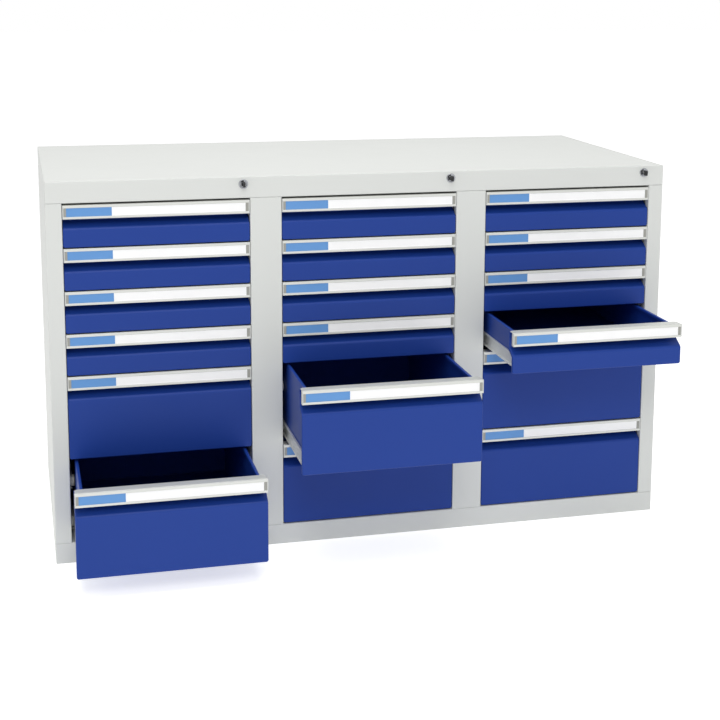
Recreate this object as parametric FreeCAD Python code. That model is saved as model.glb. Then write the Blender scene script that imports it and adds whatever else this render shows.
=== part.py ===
import FreeCAD, Part
import math
import os

# Drawer cabinet with three bays, six drawers and one central lock in each bay
# Millimetres. X runs to the right, the fronts face -Y, Z is up, and the origin is on the floor
# in the middle of the carcass footprint

# Driving dimensions of the carcass
cabinet_width = 1500.0
cabinet_depth = 700.0
cabinet_height = 900.0
bay_names = ("left", "middle", "right")
stile_width = 37.0
stile_return = 20.0
fascia_height = 50.0
plinth_height = 50.0
carcass_sheet = 1.2
fold_flat = 1.5
skirt_return = 20.0
back_flange_width = 25.0
stiffener_width = 60.0
cut_overrun = 5.0
match_distance = 0.005

# Driving dimensions of the drawer stack
level_count = 8
drawer_levels = (1, 1, 1, 1, 2, 2)
fascia_gap = 4.5
front_gap = 2.5
plinth_gap = 2.0
front_side_gap = 1.0
open_distance = {("left", 6): 228.0, ("middle", 5): 235.0, ("right", 4): 217.0}

# Drawer front, a folded pan with a sloping upper band behind the handle
drawer_sheet = 1.2
front_setback = 1.0
front_pan_depth = 8.0
front_corner_radius = 5.0
corner_facets = 3
band_drop = 54.0
band_rise = 16.0
band_depth = 28.0
front_lip = 8.0

# Drawer tray
tray_back_gap = 90.0
tray_lift = 12.0
tray_top_drop = 4.0
rim_width = 7.5
rim_lip = 6.0

# Handle profile, its end caps and the cards in its face
handle_height = 31.5
handle_wall = 1.5
handle_proud = 1.0
handle_top_bead = 5.5
handle_foot_bead = 4.5
flange_corner = 5.0
card_recess = 1.6
card_thickness = 0.8
card_air = 0.1
name_card_length = 101.0
cap_length = 10.0
cap_wall = 1.0
cap_depth = 11.0

# Roller runners: C rails with one roller each
rail_height = 31.0
rail_wall = 1.2
drawer_rail_depth = 6.0
rail_lift = 12.0
rail_side_gap = 13.0
rail_tip_gap = 0.5
roller_gap = 0.3
roller_inset = 14.5
roller_facets = 10
cabinet_rail_front_inset = 0.5
drawer_rail_back_inset = 0.5

# Uprights that carry the cabinet rails
upright_width = 30.0
front_upright_place = 51.0
rear_upright_place = 95.0

# Central locking: plug, cam, bar with tabs, catches on the drawers
lock_side_inset = 15.5
lock_lift = 33.0
lock_body_radius = 8.0
lock_body_length = 28.0
lock_bore_gap = 0.1
lock_facets = 14
bezel_radius = 11.0
bezel_height = 2.5
nut_width = 20.0
nut_thickness = 4.0
nut_sides = 6
bezel_chamfer = 1.2
plug_radius = 5.5
plug_gap = 0.08
plug_recess = 0.6
cam_reach = 11.5
cam_heel = 7.0
cam_half_width = 5.0
cam_corner = 2.5
cam_thickness = 3.0
cam_throw = 8.0
cam_pin_radius = 2.5
cam_pin_length = 7.0
cam_pin_facets = 8
cam_air = 1.0
lock_turn = 90.0
bar_thickness = 3.0
bar_width = 18.0
bar_side_gap = 0.5
bar_slide_gap = 0.3
tab_height = 8.0
tab_lift = 48.0
tab_reach = 9.5
head_margin = 5.0
slot_air = 0.5
catch_lift = 60.0
catch_height = 10.0
catch_reach = 8.0
catch_length = 20.0
catch_sheet = 2.0
catch_play = 1.0
guide_sheet = 2.0
guide_height = 25.0
guide_foot = 9.0
guide_shares = (0.2, 0.8)

# Key with a flat blade and a plastic bow
key_thickness = 2.0
key_blade_width = 6.5
key_blade_depth = 16.0
key_neck = 4.0
key_slot_gap = 0.1
bow_width = 12.5
bow_height = 12.5
bow_thickness = 4.5
bow_corner_radius = 3.0
bow_hole_radius = 1.8
bow_hole_facets = 10
bow_socket_depth = 5.0

# Places worked out from the sizes above
half_width = cabinet_width / 2
front_plane = -cabinet_depth / 2
back_plane = cabinet_depth / 2
module_width = cabinet_width / len(bay_names)
half_opening = module_width / 2 - stile_width
opening_floor = plinth_height
opening_top = cabinet_height - fascia_height
level_pitch = (opening_top - opening_floor - fascia_gap - plinth_gap + front_gap) / level_count
stile_back = front_plane + stile_return
upright_front = front_plane + front_upright_place
upright_rear = back_plane - rear_upright_place
half_front = half_opening - front_side_gap
half_tray = half_opening - rail_side_gap
front_face = front_plane + front_setback
band_back = front_face + band_depth
handle_face = front_plane - handle_proud
tray_front = band_back + drawer_sheet
tray_back = back_plane - tray_back_gap
rail_bore = rail_height / 2 - rail_wall
roller_radius = rail_bore - roller_gap
cabinet_rail_tip = half_tray + drawer_rail_depth + rail_tip_gap
cabinet_rail_front = upright_front + cabinet_rail_front_inset
cabinet_rail_back = upright_rear + upright_width + cabinet_rail_front_inset
drawer_rail_front = front_face + front_pan_depth
drawer_rail_back = tray_back - drawer_rail_back_inset
drawer_roller_place = drawer_rail_back - roller_inset
bar_inside = half_opening + bar_side_gap
bar_back = upright_front - bar_slide_gap
bar_front = bar_back - bar_width
tab_back = bar_front + bar_thickness
lock_height = opening_top + lock_lift
lock_place = half_opening - lock_side_inset
lock_back = front_plane + lock_body_length
cam_front = lock_back + cam_air
cam_back = cam_front + cam_thickness
cam_pin_side = cam_throw * math.cos(math.radians(lock_turn / 2))
cam_pin_drop = cam_throw * math.sin(math.radians(lock_turn / 2))


def place(axis, along, first, second):
    if axis == "x":
        return FreeCAD.Vector(along, first, second)
    if axis == "y":
        return FreeCAD.Vector(first, along, second)
    return FreeCAD.Vector(first, second, along)


def prism(outline, axis, start, end):
    """Closed outline drawn across an axis and drawn out along it."""
    corners = [place(axis, start, first, second) for first, second in outline]
    face = Part.Face(Part.makePolygon(corners + corners[:1]))
    return face.extrude(place(axis, end - start, 0, 0))


def tapered(outline, start, end_outline, end):
    """Solid along y between two outlines with the same number of corners."""
    wires = []
    for points, along in ((outline, start), (end_outline, end)):
        corners = [place("y", along, first, second) for first, second in points]
        wires.append(Part.makePolygon(corners + corners[:1]))
    return Part.makeLoft(wires, True, True)


def block(x_span, y_span, z_span):
    low = [min(span) for span in (x_span, y_span, z_span)]
    size = [abs(span[1] - span[0]) for span in (x_span, y_span, z_span)]
    return Part.makeBox(size[0], size[1], size[2], FreeCAD.Vector(*low))


def folded(path, thickness):
    """Outline of a sheet folded along a path, with the sheet on the path's left."""
    normals = []
    for (ax, ay), (bx, by) in zip(path, path[1:]):
        run = math.hypot(bx - ax, by - ay)
        normals.append(((ay - by) / run, (bx - ax) / run))
    before = normals[:1] + normals
    after = normals + normals[-1:]
    inner = []
    for (px, py), (ax, ay), (bx, by) in zip(path, before, after):
        reach = thickness / (1 + ax * bx + ay * by)
        inner.append((px + (ax + bx) * reach, py + (ay + by) * reach))
    return list(path) + inner[::-1]


def arc_points(first, second, radius, start_turn, end_turn, facets):
    """Points of an arc about a spot, with the turns in degrees."""
    points = []
    for step in range(facets + 1):
        turn = math.radians(start_turn + (end_turn - start_turn) * step / facets)
        points.append((first + radius * math.cos(turn), second + radius * math.sin(turn)))
    return points


def round_outline(first, second, radius, facets):
    return arc_points(first, second, radius, 0, 360, facets)[:-1]


def rounded_outline(first_span, second_span, radius, facets):
    """Box outline with its four corners rounded."""
    left, right = first_span[0] + radius, first_span[1] - radius
    low, high = second_span[0] + radius, second_span[1] - radius
    outline = []
    for first, second, turn in ((right, high, 0), (left, high, 90), (left, low, 180), (right, low, 270)):
        outline += arc_points(first, second, radius, turn, turn + 90, facets)
    return outline


def fused(shapes):
    body = shapes[0].multiFuse(shapes[1:])
    return body.removeSplitter()


def edges_along(shape, axis, spots):
    """Edges that run along an axis through the given spots across it."""
    found = []
    for edge in shape.Edges:
        ends = [vertex.Point for vertex in edge.Vertexes]
        if len(ends) != 2:
            continue
        across = place(axis, 1, 0, 0)
        if (ends[1] - ends[0]).cross(across).Length > match_distance:
            continue
        middle = (ends[0] + ends[1]) * 0.5
        for first, second in spots:
            target = place(axis, middle.dot(across), first, second)
            if (middle - target).Length < match_distance:
                found.append(edge)
    return found


def bay_centre(bay):
    return -half_width + module_width * (bay_names.index(bay) + 0.5)


def level_floor(level):
    """Height of the lower edge of a front that ends this many levels down."""
    return opening_top - fascia_gap + front_gap - level * level_pitch


def drawer_spans():
    """Number, lower edge and upper edge of each front, from the top."""
    spans = []
    used = 0
    for number, levels in enumerate(drawer_levels, 1):
        used += levels
        low = level_floor(used)
        spans.append((number, low, low + levels * level_pitch - front_gap))
    return spans


# Carcass

def hollow_cap(floor, height, flat_top_edges):
    """Plate with turned-down skirts and a return along the foot of each skirt."""
    top = floor + height
    cap = block((-half_width, half_width), (front_plane, back_plane), (floor, top))
    corners = [(x, y) for x in (-half_width, half_width) for y in (front_plane, back_plane)]
    edges = edges_along(cap, "z", corners)
    if flat_top_edges:
        edges += edges_along(cap, "x", [(front_plane, top), (back_plane, top)])
        edges += edges_along(cap, "y", [(-half_width, top), (half_width, top)])
    cap = cap.makeChamfer(fold_flat, edges)
    inside = half_width - carcass_sheet
    cavity = block((-inside, inside), (front_plane + carcass_sheet, back_plane - carcass_sheet),
                   (floor + carcass_sheet, top - carcass_sheet))
    mouth_half = half_width - skirt_return
    mouth = block((-mouth_half, mouth_half), (front_plane + skirt_return, back_plane - skirt_return),
                  (floor - cut_overrun, floor + carcass_sheet + cut_overrun))
    return cap.cut(cavity.fuse(mouth))


def top_panel():
    cap = hollow_cap(opening_top, fascia_height, True)
    radius = lock_body_radius + lock_bore_gap
    for bay in bay_names:
        hole = round_outline(lock_axis(bay), lock_height, radius, lock_facets)
        cap = cap.cut(prism(hole, "y", front_plane - cut_overrun, front_plane + cut_overrun))
    return [cap]


def base_panel():
    """Plinth tray and the channel that stiffens its floor plate from below."""
    half = stiffener_width / 2
    under = plinth_height - carcass_sheet
    path = [(-half, under), (-half, 0), (half, 0), (half, under)]
    inside = half_width - skirt_return
    channel = prism(folded(path, carcass_sheet), "x", -inside, inside)
    return [hollow_cap(0, plinth_height, False), channel]


def side_panel(side):
    """Outer wall folded into the front stile and the flange for the back."""
    wall = side * half_width
    edge = side * (half_width - stile_width)
    path = [(side * (half_width - back_flange_width), back_plane), (wall, back_plane),
            (wall, front_plane), (edge, front_plane), (edge, stile_back)]
    panel = prism(folded(path, -side * carcass_sheet), "z", opening_floor, opening_top)
    corners = [(wall, back_plane), (wall, front_plane)]
    return [panel.makeChamfer(fold_flat, edges_along(panel, "z", corners))]


def partition(place_x):
    """Middle wall with a double-width stile on its front edge."""
    low = place_x - stile_width
    high = place_x + stile_width
    stile_path = [(low, stile_back), (low, front_plane), (high, front_plane), (high, stile_back)]
    stile = prism(folded(stile_path, carcass_sheet), "z", opening_floor, opening_top)
    wall_back = back_plane - 2 * carcass_sheet
    half_wall = carcass_sheet / 2
    wall_path = [(place_x + half_wall, front_plane + carcass_sheet), (place_x + half_wall, wall_back),
                 (place_x - back_flange_width, wall_back)]
    wall = prism(folded(wall_path, carcass_sheet), "z", opening_floor, opening_top)
    return [fused([stile, wall])]


def back_panel():
    half = half_width - carcass_sheet
    return [block((-half, half), (back_plane - 2 * carcass_sheet, back_plane - carcass_sheet),
                  (opening_floor, opening_top))]


def bay_walls(bay):
    """Side sign and the distance to the wall behind the uprights, for both sides of a bay."""
    left_wall = carcass_sheet if bay == bay_names[0] else carcass_sheet / 2
    right_wall = carcass_sheet if bay == bay_names[-1] else carcass_sheet / 2
    return [(-1, module_width / 2 - left_wall), (1, module_width / 2 - right_wall)]


def uprights():
    """Posts behind the stiles and near the back, and the clips that guide the locking bars."""
    posts = []
    for bay in bay_names:
        centre = bay_centre(bay)
        for side, wall in bay_walls(bay):
            for near in (upright_front, upright_rear):
                face = centre + side * half_opening
                behind = centre + side * wall
                path = [(behind, near), (face, near), (face, near + upright_width),
                        (behind, near + upright_width)]
                outline = folded(path, -side * carcass_sheet)
                posts.append(prism(outline, "z", opening_floor, opening_top))
        for share in guide_shares:
            posts.append(bar_guide(centre, opening_floor + share * (opening_top - opening_floor)))
    return posts


def bar_guide(centre, height):
    """Small angle on the front upright that keeps a locking bar in line."""
    inner = centre + bar_inside + bar_thickness + bar_slide_gap
    outer = inner + guide_sheet
    foot = outer + guide_foot
    path = [(inner, bar_front), (inner, upright_front), (foot, upright_front)]
    return prism(folded(path, -guide_sheet), "z", height, height + guide_height)


# Runners

def rail_outline(centre, side, tip, web, low):
    """C section of a rail, open from its web towards its tip."""
    x_tip = centre + side * tip
    x_web = centre + side * web
    path = [(x_tip, low), (x_web, low), (x_web, low + rail_height), (x_tip, low + rail_height)]
    turn = side if web > tip else -side
    return folded(path, turn * rail_wall)


def cabinet_rails(bay):
    centre = bay_centre(bay)
    rails = []
    for side in (-1, 1):
        for level in range(1, level_count + 1):
            outline = rail_outline(centre, side, cabinet_rail_tip, half_opening, level_floor(level) + rail_lift)
            rails.append(prism(outline, "y", cabinet_rail_front, cabinet_rail_back))
    return rails


def roller(centre, side, inner, outer, along, low):
    """Roller with flat facets, because the cabinet holds so many."""
    outline = round_outline(along, low + rail_height / 2, roller_radius, roller_facets)
    return prism(outline, "x", centre + side * inner, centre + side * outer)


def rail_rollers(bay):
    centre = bay_centre(bay)
    rollers = []
    for side in (-1, 1):
        for level in range(1, level_count + 1):
            rollers.append(roller(centre, side, half_tray + rail_wall + roller_gap, half_opening - rail_wall,
                                  cabinet_rail_front + roller_inset, level_floor(level) + rail_lift))
    return rollers


# Drawers

def pan_outline(left, right, low, high, radius):
    """Front of a pan, with its two lower corners rounded."""
    left_corner = arc_points(left + radius, low + radius, radius, 180, 270, corner_facets)
    right_corner = arc_points(right - radius, low + radius, radius, 270, 360, corner_facets)
    return left_corner + right_corner + [(right, high), (left, high)]


def drawer_front(centre, low, high, shift):
    """Pan with rounded lower corners, a sloping band above it, and a wall and lip behind the handle."""
    left = centre - half_front
    right = centre + half_front
    band_foot = high - band_drop
    face = front_face - shift
    behind = face + front_pan_depth
    outer = prism(pan_outline(left, right, low, band_foot, front_corner_radius), "y", face, behind)
    inner_outline = pan_outline(left + drawer_sheet, right - drawer_sheet, low + drawer_sheet,
                                band_foot + cut_overrun, front_corner_radius - drawer_sheet)
    inner = prism(inner_outline, "y", face + drawer_sheet, behind + cut_overrun)
    back = band_back - shift
    lip = high - handle_wall - drawer_sheet
    path = [(face, band_foot - drawer_sheet), (face, band_foot), (back, band_foot + band_rise),
            (back, lip), (back - front_lip, lip)]
    band = prism(folded(path, -drawer_sheet), "x", left, right)
    return fused([outer.cut(inner), band])


def drawer_tray(centre, low, high, shift):
    """Open tray with rims turned in along its sides and back."""
    floor = low + tray_lift
    top = high - tray_top_drop
    near = tray_front - shift
    far = tray_back - shift
    left = centre - half_tray
    right = centre + half_tray
    side_path = [(left + rim_width, top - rim_lip), (left + rim_width, top), (left, top), (left, floor),
                 (right, floor), (right, top), (right - rim_width, top), (right - rim_width, top - rim_lip)]
    channel = prism(folded(side_path, drawer_sheet), "y", near, far)
    near_wall = block((left, right), (near, near + drawer_sheet), (floor, top))
    back_path = [(far, floor), (far, top), (far - rim_width, top), (far - rim_width, top - rim_lip)]
    back_wall = prism(folded(back_path, drawer_sheet), "x", left + drawer_sheet, right - drawer_sheet)
    return fused([channel, near_wall, back_wall])


def handle_profile(centre, high, shift):
    """Extruded pull: a top flange, a face lip with two beads and the recess for the cards."""
    face = handle_face - shift
    recess = face + card_recess
    behind = recess + handle_wall
    end = tray_front - shift
    foot = high - handle_height
    outline = [(end, high), (face, high), (face, high - handle_top_bead), (recess, high - handle_top_bead),
               (recess, foot + handle_foot_bead), (face, foot + handle_foot_bead), (face, foot),
               (behind, foot), (behind, high - handle_wall), (end, high - handle_wall)]
    half = half_front - cap_wall
    profile = prism(outline, "x", centre - half, centre + half)
    for side in (-1, 1):
        tip = centre + side * half
        corner = [(tip, end), (tip - side * flange_corner, end), (tip, end - flange_corner)]
        profile = profile.cut(prism(corner, "z", high - handle_wall, high))
    return profile


def end_cap(centre, side, high, shift):
    """Cheek that closes the end of the profile, with a tongue in the card recess."""
    face = handle_face - shift
    foot = high - handle_height
    inner = centre + side * (half_front - cap_wall)
    outer = centre + side * half_front
    plate = block((inner, outer), (face, face + cap_depth), (foot, high))
    tongue = block((inner - side * cap_length, inner), (face, face + card_recess),
                   (foot + handle_foot_bead, high - handle_top_bead))
    return fused([plate, tongue])


def cards(centre, high, shift):
    """Name card at the left and the plain card that fills the rest of the recess."""
    back = handle_face + card_recess - shift
    low = high - handle_height + handle_foot_bead + card_air
    z_span = (low, high - handle_top_bead - card_air)
    start = centre - half_front + cap_wall + cap_length + card_air
    middle = start + name_card_length
    end = centre + half_front - cap_wall - cap_length - card_air
    y_span = (back - card_thickness, back)
    return [block((start, middle), y_span, z_span), block((middle, end), y_span, z_span)]


def drawer_runner(centre, side, low, shift):
    """Rail on the flank of the tray and the roller at its back end."""
    rail_low = low + rail_lift
    outline = rail_outline(centre, side, half_tray + drawer_rail_depth, half_tray, rail_low)
    wheel = roller(centre, side, half_tray + rail_wall, half_opening - rail_wall - roller_gap,
                   drawer_roller_place - shift, rail_low)
    return [prism(outline, "y", drawer_rail_front - shift, drawer_rail_back - shift), wheel]


def lock_catch(centre, low, shift):
    """Angle on the right flank of the tray that the bar's tab stands in front of."""
    front = tab_back + catch_play - shift
    inner = centre + half_tray
    path = [(centre + half_tray + catch_reach, front), (inner, front), (inner, front + catch_length)]
    return prism(folded(path, -catch_sheet), "z", low + catch_lift, low + catch_lift + catch_height)


def drawer_nodes(bay, number, low, high):
    centre = bay_centre(bay)
    shift = open_distance.get((bay, number), 0)
    name = "drawer_" + bay + "_" + str(number)
    fittings = [handle_profile(centre, high, shift)]
    fittings += cards(centre, high, shift)
    for side in (-1, 1):
        fittings.append(end_cap(centre, side, high, shift))
        fittings += drawer_runner(centre, side, low, shift)
    fittings.append(lock_catch(centre, low, shift))
    return {name + "_tray": [drawer_tray(centre, low, high, shift), drawer_front(centre, low, high, shift)],
            name + "_handle_and_runners": fittings}


# Central locking

def lock_axis(bay):
    return bay_centre(bay) + lock_place


def lock_cases():
    """Chrome bezel, barrel and the nut behind the fascia, bored for the plug."""
    bezel_front = front_plane - bezel_height
    rim_front = bezel_front + bezel_chamfer
    nut_front = front_plane + carcass_sheet
    bore_radius = (plug_radius + plug_gap) / math.cos(math.pi / lock_facets)
    cases = []
    for bay in bay_names:
        spot = lock_axis(bay)
        wide = round_outline(spot, lock_height, bezel_radius, lock_facets)
        narrow = round_outline(spot, lock_height, bezel_radius - bezel_chamfer, lock_facets)
        barrel = round_outline(spot, lock_height, lock_body_radius, lock_facets)
        hexagon = round_outline(spot, lock_height, nut_width / math.sqrt(3), nut_sides)
        bore = round_outline(spot, lock_height, bore_radius, lock_facets)
        case = fused([tapered(narrow, bezel_front, wide, rim_front), prism(wide, "y", rim_front, front_plane),
                      prism(barrel, "y", front_plane, lock_back),
                      prism(hexagon, "y", nut_front, nut_front + nut_thickness)])
        cases.append(case.cut(prism(bore, "y", bezel_front - cut_overrun, lock_back + cut_overrun)))
    return cases


def key_slot(spot, gap):
    half = key_thickness / 2 + gap
    half_blade = key_blade_width / 2 + gap
    front = front_plane - bezel_height - cut_overrun
    return block((spot - half, spot + half), (front, front_plane + key_blade_depth + gap),
                 (lock_height - half_blade, lock_height + half_blade))


def cam_outline(spot):
    """Flat arm that points at the cam pin, with its corners cut off."""
    tip = cam_reach
    heel = -cam_heel
    side = cam_half_width
    cut = cam_corner
    corners = [(tip, side - cut), (tip - cut, side), (heel + cut, side), (heel, side - cut),
               (heel, cut - side), (heel + cut, -side), (tip - cut, -side), (tip, cut - side)]
    turn = math.radians(-lock_turn / 2)
    return [(spot + along * math.cos(turn) - across * math.sin(turn),
             lock_height + along * math.sin(turn) + across * math.cos(turn)) for along, across in corners]


def lock_plug(bay):
    """Plug with its keyway, and the cam with the pin that lifts the bar."""
    spot = lock_axis(bay)
    front = front_plane - bezel_height + plug_recess
    barrel = prism(round_outline(spot, lock_height, plug_radius, lock_facets), "y", front, cam_front)
    cam = prism(cam_outline(spot), "y", cam_front, cam_back)
    pin = round_outline(spot + cam_pin_side, lock_height - cam_pin_drop, cam_pin_radius, cam_pin_facets)
    pin = prism(pin, "y", cam_back, cam_back + cam_pin_length)
    return [fused([barrel.cut(key_slot(spot, key_slot_gap)), cam, pin])]


def key(bay):
    """Blade in the keyway and the bow that is moulded over its neck."""
    spot = lock_axis(bay)
    half = key_thickness / 2
    neck = front_plane - bezel_height - key_neck
    blade = block((spot - half, spot + half), (neck - bow_socket_depth, front_plane + key_blade_depth),
                  (lock_height - key_blade_width / 2, lock_height + key_blade_width / 2))
    half_bow = bow_thickness / 2
    bow_z_span = (lock_height - bow_height / 2, lock_height + bow_height / 2)
    bow = rounded_outline((neck - bow_width, neck), bow_z_span, bow_corner_radius, corner_facets)
    bow = prism(bow, "x", spot - half_bow, spot + half_bow)
    ring_spot = neck - bow_width + bow_corner_radius + bow_hole_radius
    hole = round_outline(ring_spot, lock_height, bow_hole_radius, bow_hole_facets)
    hole = prism(hole, "x", spot - half_bow - cut_overrun, spot + half_bow + cut_overrun)
    return [blade, bow.cut(hole).cut(blade)]


def locking_bar(bay):
    """Bar behind the right stile, a tab for each drawer and a slotted head for the cam pin."""
    centre = bay_centre(bay)
    inner = centre + bar_inside
    outer = inner + bar_thickness
    pin_height = lock_height - cam_pin_drop
    slot_half = cam_pin_radius + slot_air
    head_half = slot_half + head_margin
    lows = [low for number, low, high in drawer_spans()]
    bottom = min(lows) + tab_lift - tab_height
    pieces = [block((inner, outer), (bar_front, bar_back), (bottom, pin_height + head_half))]
    for low in lows:
        pieces.append(block((inner - tab_reach, inner), (bar_front, tab_back),
                            (low + tab_lift, low + tab_lift + tab_height)))
    slot_left = lock_axis(bay) + cam_pin_side - slot_half
    slot_right = lock_axis(bay) + cam_throw + slot_half
    head_front = cam_back + cam_air
    pieces.append(block((slot_left - head_margin, inner), (head_front, head_front + bar_thickness),
                        (pin_height - head_half, pin_height + head_half)))
    slot = block((slot_left, slot_right), (head_front - cut_overrun, head_front + bar_thickness + cut_overrun),
                 (pin_height - slot_half, pin_height + slot_half))
    return [fused(pieces).cut(slot)]


def all_nodes():
    nodes = {"side_panel_left": side_panel(-1), "side_panel_right": side_panel(1),
             "partition_left": partition(-module_width / 2), "partition_right": partition(module_width / 2),
             "back_panel": back_panel(), "top_panel": top_panel(), "base_panel": base_panel(),
             "uprights": uprights(), "lock_cases": lock_cases()}
    for bay in bay_names:
        nodes["cabinet_rails_" + bay] = cabinet_rails(bay)
        nodes["rail_rollers_" + bay] = rail_rollers(bay)
        nodes["lock_plug_" + bay] = lock_plug(bay)
        nodes["key_" + bay] = key(bay)
        nodes["locking_bar_" + bay] = locking_bar(bay)
        for number, low, high in drawer_spans():
            nodes.update(drawer_nodes(bay, number, low, high))
    return nodes


def write_nodes():
    os.makedirs("parts", exist_ok=True)
    for name, shapes in all_nodes().items():
        solids = [solid for shape in shapes for solid in shape.Solids]
        shape = solids[0] if len(solids) == 1 else Part.makeCompound(solids)
        shape.exportStep("parts/" + name + ".step")
        print(name, len(solids), "solids", round(sum(solid.Volume for solid in solids)), "mm3")


write_nodes()
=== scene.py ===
import bpy
import bmesh
import math
from mathutils import Matrix, Vector


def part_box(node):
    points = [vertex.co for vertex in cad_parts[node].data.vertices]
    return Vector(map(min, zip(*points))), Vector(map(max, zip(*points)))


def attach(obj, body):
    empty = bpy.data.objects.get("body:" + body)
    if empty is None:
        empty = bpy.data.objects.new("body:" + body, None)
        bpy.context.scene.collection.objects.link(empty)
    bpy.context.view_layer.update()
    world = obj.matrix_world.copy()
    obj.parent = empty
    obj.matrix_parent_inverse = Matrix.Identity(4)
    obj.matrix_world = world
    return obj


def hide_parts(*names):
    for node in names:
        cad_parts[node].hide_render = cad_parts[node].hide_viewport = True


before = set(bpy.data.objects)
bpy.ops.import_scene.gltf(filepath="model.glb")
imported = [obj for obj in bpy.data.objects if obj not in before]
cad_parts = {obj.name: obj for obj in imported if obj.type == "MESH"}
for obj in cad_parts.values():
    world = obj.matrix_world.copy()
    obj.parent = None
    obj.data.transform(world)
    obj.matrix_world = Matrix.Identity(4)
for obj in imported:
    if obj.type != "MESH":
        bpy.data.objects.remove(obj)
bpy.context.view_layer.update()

print("frame loaded with", len(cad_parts), "nodes")

# Metres everywhere. X runs right, the fronts face -Y, Z is up, the origin is on the floor

# Mesh helpers

def along(axis, distance, first, second):
    if axis == "x":
        return Vector((distance, first, second))
    if axis == "y":
        return Vector((first, distance, second))
    return Vector((first, second, distance))


sharpAngle = math.radians(35)
weldDistance = 1e-6


def plainMesh(bm, name):
    mesh = bpy.data.meshes.new(name)
    bm.to_mesh(mesh)
    bm.free()
    return mesh


def openMesh(bm, name):
    # keeps the face directions, which say on which side the sheet's thickness goes
    mesh = plainMesh(bm, name)
    mesh.shade_smooth()
    mesh.set_sharp_from_angle(angle=sharpAngle)
    return mesh


def meshFrom(bm, name):
    bmesh.ops.remove_doubles(bm, verts=bm.verts, dist=weldDistance)
    bmesh.ops.recalc_face_normals(bm, faces=bm.faces)
    return openMesh(bm, name)


def joined(meshes, name):
    bm = bmesh.new()
    for mesh in meshes:
        bm.from_mesh(mesh)
        bpy.data.meshes.remove(mesh)
    return plainMesh(bm, name)


def roundEdges(piece, width, steps):
    bevel = piece.modifiers.new("roundedEdges", "BEVEL")
    bevel.width = width
    bevel.segments = steps
    bevel.limit_method = "ANGLE"
    bevel.angle_limit = sharpAngle
    bevel.harden_normals = False


def evenShading(piece):
    weights = piece.modifiers.new("evenShading", "WEIGHTED_NORMAL")
    weights.keep_sharp = True
    weights.weight = 90


def newObject(name, data):
    thing = bpy.data.objects.new(name, data)
    bpy.context.scene.collection.objects.link(thing)
    return thing


def addPiece(name, mesh, body, material, nodes=(), edge=0, edgeSteps=2, even=False):
    piece = newObject(name, mesh)
    mesh.materials.clear()
    mesh.materials.append(material)
    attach(piece, body)
    if nodes:
        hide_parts(*nodes)
    if edge:
        roundEdges(piece, edge, edgeSteps)
    if even:
        evenShading(piece)
    return piece


def foldedPairs(path, thickness, bendRadius, steps):
    # pairs of points on both faces of a sheet that follows the path, with round bends
    points = [Vector(p) for p in path]
    runs = [(b - a).normalized() for a, b in zip(points, points[1:])]
    left = [Vector((-run.y, run.x)) for run in runs]
    pairs = [(points[0], points[0] + left[0] * thickness)]
    for spot, run, nextRun, normal in zip(points[1:-1], runs, runs[1:], left):
        turn = run.x * nextRun.y - run.y * nextRun.x
        angle = math.atan2(turn, run.dot(nextRun))
        side = 1 if angle > 0 else -1
        inward = (angle > 0) == (thickness > 0)  # the path is then the outer face of the bend
        near = bendRadius + abs(thickness) if inward else bendRadius
        far = bendRadius if inward else bendRadius + abs(thickness)
        start = spot - run * near * math.tan(abs(angle) / 2)
        centre = start + normal * side * near
        for step in range(steps + 1):
            swing = angle * step / steps
            spoke = -normal * side
            spoke = Vector((spoke.x * math.cos(swing) - spoke.y * math.sin(swing),
                            spoke.x * math.sin(swing) + spoke.y * math.cos(swing)))
            pairs.append((centre + spoke * near, centre + spoke * far))
    pairs.append((points[-1], points[-1] + left[-1] * thickness))
    return pairs


def strip(bm, line, nextLine):
    for index in range(len(line) - 1):
        bm.faces.new((line[index], line[index + 1], nextLine[index + 1], nextLine[index]))


def sleeve(bm, ring, nextRing):
    strip(bm, ring + ring[:1], nextRing + nextRing[:1])


def foldedSheet(name, path, thickness, bendRadius, axis, start, end, steps=4):
    pairs = foldedPairs(path, thickness, bendRadius, steps)
    bm = bmesh.new()
    lines = [[bm.verts.new(along(axis, distance, *pair[face])) for pair in pairs]
             for distance in (start, end) for face in (0, 1)]
    nearBack, nearFront, farBack, farFront = lines
    for line, nextLine in ((nearBack, farBack), (nearFront, farFront), (nearBack, nearFront),
                           (farBack, farFront)):
        strip(bm, line, nextLine)
    for index in (0, -1):
        bm.faces.new((nearBack[index], farBack[index], farFront[index], nearFront[index]))
    return meshFrom(bm, name)


def extruded(name, outline, axis, start, end):
    bm = bmesh.new()
    rings = [[bm.verts.new(along(axis, distance, *spot)) for spot in outline] for distance in (start, end)]
    for ring in rings:
        bm.faces.new(ring)
    sleeve(bm, *rings)
    return meshFrom(bm, name)


def boxMesh(name, low, high):
    outline = [(low[1], low[2]), (high[1], low[2]), (high[1], high[2]), (low[1], high[2])]
    return extruded(name, outline, "x", low[0], high[0])


def turned(name, profile, axis, first, second, steps=32):
    # the profile has (distance along the axis, radius) points
    bm = bmesh.new()
    rings = []
    for distance, radius in profile:
        if radius == 0:
            rings.append([bm.verts.new(along(axis, distance, first, second))])
            continue
        ring = []
        for step in range(steps):
            angle = 2 * math.pi * step / steps
            ring.append(bm.verts.new(along(axis, distance, first + radius * math.cos(angle),
                                           second + radius * math.sin(angle))))
        rings.append(ring)
    for ring, nextRing in zip(rings, rings[1:]):
        for step in range(steps):
            after = (step + 1) % steps
            corners = [ring[step % len(ring)], ring[after % len(ring)],
                       nextRing[after % len(nextRing)], nextRing[step % len(nextRing)]]
            corners = list(dict.fromkeys(corners))
            if len(corners) > 2:
                bm.faces.new(corners)
    return meshFrom(bm, name)


# Node groups that several materials share

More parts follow.
